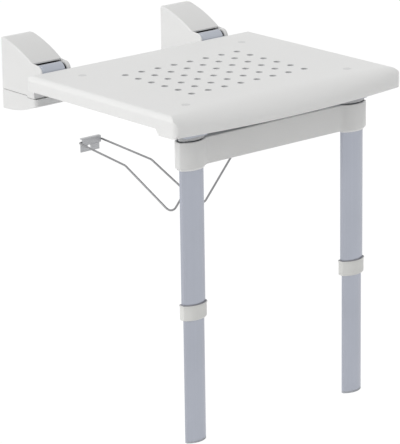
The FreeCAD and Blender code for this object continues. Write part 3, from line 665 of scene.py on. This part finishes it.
def node_group(name, inputs):
    """An empty geometry tree with its own named inputs."""
    group = bpy.data.node_groups.new(name, "GeometryNodeTree")
    group.interface.new_socket("Geometry", in_out="OUTPUT", socket_type="NodeSocketGeometry")
    for title, kind in inputs.items():
        group.interface.new_socket(title, in_out="INPUT", socket_type=kind)
    return group, add(group, "NodeGroupInput"), add(group, "NodeGroupOutput")


def grown(group, values, name):
    """Plain mesh object made by a geometry tree with the given input values."""
    host = bpy.data.objects.new(name + "_host", bpy.data.meshes.new(name + "_host"))
    bpy.context.collection.objects.link(host)
    modifier = host.modifiers.new("grow", "NODES")
    modifier.node_group = group
    for item in group.interface.items_tree:
        if item.in_out == "INPUT" and item.name in values:
            modifier[item.identifier] = values[item.name]
    graph = bpy.context.evaluated_depsgraph_get()
    mesh = bpy.data.meshes.new_from_object(host.evaluated_get(graph),
                                           preserve_all_data_layers=True, depsgraph=graph)
    bpy.data.objects.remove(host)
    piece = bpy.data.objects.new(name, mesh)
    bpy.context.collection.objects.link(piece)
    return piece


# %% [markdown]
# ## Painted shade in the drain holes
#
# Forty-eight holes let water through the seat. A short grey lining goes a little way down each
# one. It is painted shade for the shaded inside of the hole, so that the holes look dark from the
# front. The tree stands one ring on each point of a grid that has the pitch of the holes. A ring
# is a circle that carries a small upright rectangle, so its radius, wall and depth are plain
# inputs.

# %% Tree of the shade rings

RING_SIDES = 32

group, given, result = node_group("shade_rings_on_grid", {
    "Pitch X": "NodeSocketFloat", "Pitch Y": "NodeSocketFloat", "Columns": "NodeSocketInt",
    "Rows": "NodeSocketInt", "Radius": "NodeSocketFloat", "Wall": "NodeSocketFloat",
    "Depth": "NodeSocketFloat", "Centre": "NodeSocketVector", "Material": "NodeSocketMaterial"})


def spread(pitch, count):
    """Width of a row of points with a pitch."""
    gaps = add(group, "ShaderNodeMath", {1: 1.0}, {0: given.outputs[count]},
               operation="SUBTRACT")
    width = add(group, "ShaderNodeMath",
                links={0: gaps.outputs["Value"], 1: given.outputs[pitch]}, operation="MULTIPLY")
    return width.outputs["Value"]


grid = add(group, "GeometryNodeMeshGrid", links={
    "Size X": spread("Pitch X", "Columns"), "Size Y": spread("Pitch Y", "Rows"),
    "Vertices X": given.outputs["Columns"], "Vertices Y": given.outputs["Rows"]})
ring = add(group, "GeometryNodeCurvePrimitiveCircle", {"Resolution": RING_SIDES},
           {"Radius": given.outputs["Radius"]})
wall = add(group, "GeometryNodeCurvePrimitiveQuadrilateral",
           links={"Width": given.outputs["Wall"], "Height": given.outputs["Depth"]})
tube = add(group, "GeometryNodeCurveToMesh",
           links={"Curve": ring.outputs["Curve"], "Profile Curve": wall.outputs["Curve"]})
stand = add(group, "GeometryNodeInstanceOnPoints",
            links={"Points": grid.outputs["Mesh"], "Instance": tube.outputs["Mesh"]})
real = add(group, "GeometryNodeRealizeInstances", links={"Geometry": stand.outputs["Instances"]})
moved = add(group, "GeometryNodeTransform",
            links={"Geometry": real.outputs["Geometry"], "Translation": given.outputs["Centre"]})
dressed = add(group, "GeometryNodeSetMaterial",
              links={"Geometry": moved.outputs["Geometry"],
                     "Material": given.outputs["Material"]})
group.links.new(dressed.outputs["Geometry"], result.inputs["Geometry"])
print("nodes in the tree:", len(group.nodes))

# %% [markdown]
# ## Painted shade in the holes and at their mouths
#
# The tree makes the grey linings in the holes and, with other values, a thin grey rim round
# each hole's mouth. The rim is painted shade for the mouth's shaded edge, which makes the hole
# look wider. Both are worked out from the hole, so they fit it when it changes. The linings are
# short, because the link passes close below the seat when it is up.

# %% Painted shade in and round the holes

HOLE_COLUMNS, HOLE_ROWS = 8, 6
HOLE_PITCH_X, HOLE_PITCH_Y = 30.0 * MM, 29.3 * MM
HOLE_RADIUS = 4.5 * MM
FIELD_BEHIND_MIDDLE = 4.5 * MM
SHADE_LINING_WALL, SHADE_LINING_DEPTH, SHADE_LINING_SINK = 0.25 * MM, 4.2 * MM, 0.5 * MM
MOUTH_SHADE_WIDTH, MOUTH_SHADE_DEPTH, MOUTH_SHADE_PROUD = 0.95 * MM, 0.4 * MM, 0.12 * MM

seat_low, seat_high = (Vector(corner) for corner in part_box("seat_shell"))
field = Vector((0.0, (seat_low.y + seat_high.y) / 2 + FIELD_BEHIND_MIDDLE,
                seat_high.z - SHADE_LINING_SINK - SHADE_LINING_DEPTH / 2))
mouth = Vector((field.x, field.y, seat_high.z + MOUTH_SHADE_PROUD - MOUTH_SHADE_DEPTH / 2))
pattern = {"Pitch X": HOLE_PITCH_X, "Pitch Y": HOLE_PITCH_Y, "Columns": HOLE_COLUMNS,
           "Rows": HOLE_ROWS}
# Grey linings down the holes: painted shade for their shaded insides.
shade_linings = grown(group, {
    **pattern, "Radius": HOLE_RADIUS - SHADE_LINING_WALL / 2, "Wall": SHADE_LINING_WALL,
    "Depth": SHADE_LINING_DEPTH, "Centre": field, "Material": lining_shade_grey}, "drain_hole_shade")
# A thin grey rim on the seat round each hole's mouth: painted shade for its shaded edge.
rims = grown(group, {
    **pattern, "Radius": HOLE_RADIUS - SHADE_LINING_WALL + MOUTH_SHADE_WIDTH / 2, "Wall": MOUTH_SHADE_WIDTH,
    "Depth": MOUTH_SHADE_DEPTH, "Centre": mouth, "Material": mouth_shade_grey}, "drain_mouth_shade")
for piece in (shade_linings, rims):
    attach(piece, "seat")
    print(piece.name, HOLE_COLUMNS * HOLE_ROWS, "in", len(piece.data.polygons), "faces")

# %% [markdown]
# ## Floor and backdrop
#
# The object stands in a white studio. A lit white floor would need so much light that the seat
# turned flat. So the floor glows white for the camera and for reflections, and is a pale matt
# surface for everything else, which bounces some light up under the seat and keeps a shadow.

# %% Floor

FLOOR_SIZE = 30.0
FLOOR_GAP = 0.5 * MM
PAPER_FIBRE_MM = 4
FLOOR_GLOW, GLOW_SHARE = 1.05, 0.92

floor_level = cad_box[0][2] - FLOOR_GAP
half = FLOOR_SIZE / 2
mesh = bpy.data.meshes.new("studio_floor")
mesh.from_pydata([(-half, -half, floor_level), (half, -half, floor_level),
                  (half, half, floor_level), (-half, half, floor_level)], [], [(0, 1, 2, 3)])
floor = bpy.data.objects.new("studio_floor", mesh)
bpy.context.collection.objects.link(floor)

paper, tree, output, place = new_material("white_studio_paper")
fibre = add(tree, "ShaderNodeTexNoise", {"Scale": 1 / (PAPER_FIBRE_MM * MM)}, {"Vector": place})
white = add(tree, "ShaderNodeMix", {"A": srgb("F0F0F0"), "B": srgb("F4F4F4")},
            {"Factor": fibre.outputs["Fac"]}, data_type="RGBA")
matte = add(tree, "ShaderNodeBsdfDiffuse", {"Roughness": 1.0}, {"Color": white.outputs["Result"]})
glow = add(tree, "ShaderNodeEmission", {"Color": (1, 1, 1, 1), "Strength": FLOOR_GLOW})
ray = add(tree, "ShaderNodeLightPath")
seen = add(tree, "ShaderNodeMath",
           links={0: ray.outputs["Is Camera Ray"], 1: ray.outputs["Is Glossy Ray"]},
           operation="MAXIMUM")
share = add(tree, "ShaderNodeMath", {1: GLOW_SHARE}, {0: seen.outputs["Value"]},
            operation="MULTIPLY")
mixed = add(tree, "ShaderNodeMixShader",
            links={0: share.outputs["Value"], 1: matte.outputs["BSDF"],
                   2: glow.outputs["Emission"]})
tree.links.new(mixed.outputs["Shader"], output.inputs["Surface"])
mesh.materials.append(paper)
print("floor below the origin in mm:", round(-floor_level / MM, 1))

# %% [markdown]
# ## Light
#
# Several area lamps would give several soft shadows. One broad sun from the left and above gives
# the bright left sides and the darker front, and the world fills the rest evenly. The world is
# brighter where the camera or a reflection sees it, so that it shows as plain white.

# %% World and sun

FILL_STRENGTH, BACKDROP_STRENGTH = 0.63, 1.0
SUN_STRENGTH, SUN_DEGREES = 1.3, 50
SUN_SIDE = Vector((-0.86, 0.2, 0.48))

world = bpy.data.worlds.new("studio")
bpy.context.scene.world = world
world.use_nodes = True
tree = world.node_tree
tree.nodes.clear()
ray = add(tree, "ShaderNodeLightPath")
bright = add(tree, "ShaderNodeMath",
             links={0: ray.outputs["Is Camera Ray"], 1: ray.outputs["Is Glossy Ray"]},
             operation="MAXIMUM")
fill = add(tree, "ShaderNodeBackground", {"Color": (1, 1, 1, 1), "Strength": FILL_STRENGTH})
plain = add(tree, "ShaderNodeBackground", {"Color": (1, 1, 1, 1), "Strength": BACKDROP_STRENGTH})
mixed = add(tree, "ShaderNodeMixShader",
            links={0: bright.outputs["Value"], 1: fill.outputs["Background"],
                   2: plain.outputs["Background"]})
add(tree, "ShaderNodeOutputWorld", links={"Surface": mixed.outputs["Shader"]})

lamp_data = bpy.data.lights.new("broad_sun", "SUN")
lamp_data.energy = SUN_STRENGTH
lamp_data.angle = math.radians(SUN_DEGREES)
lamp = bpy.data.objects.new("broad_sun", lamp_data)
lamp.matrix_world = SUN_SIDE.to_track_quat("Z", "Y").to_matrix().to_4x4()
bpy.context.collection.objects.link(lamp)
bpy.context.scene.view_settings.view_transform = "Standard"
print("sun and fill:", SUN_STRENGTH, FILL_STRENGTH)
